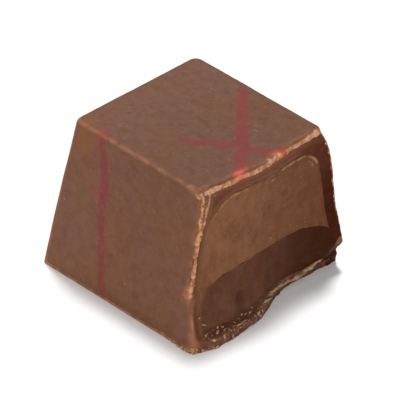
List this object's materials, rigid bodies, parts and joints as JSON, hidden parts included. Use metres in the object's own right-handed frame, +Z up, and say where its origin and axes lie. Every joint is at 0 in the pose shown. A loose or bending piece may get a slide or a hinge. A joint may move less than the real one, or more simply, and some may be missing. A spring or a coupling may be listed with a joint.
{
  "type": "gianduja praline",
  "caption": "Cut half of a moulded milk chocolate praline with tapered sides, filled with gianduja and a darker nut cream, closed with a chocolate base.",
  "frame": {"origin": "under the middle of the piece, on the flat face that it rests on", "axes": "+X along the bar from the moulded end to the cut face, +Y across it, +Z up from the base to the flat top"},
  "size_m": [0.0188, 0.0184, 0.0144],
  "materials": {
    "shell": "satin milk chocolate with fine red cocoa butter lines",
    "gianduja": "dense hazelnut paste, cut, matt with a faint oily sheen",
    "dark_cream": "soft dark nut cream, cut, matt",
    "base": "milk chocolate, broken edge, matt"
  },
  "bodies": {
    "root": {"shell": "shell", "gianduja": "gianduja", "dark_cream": "dark_cream", "base": "base"}
  },
  "joints": []
}
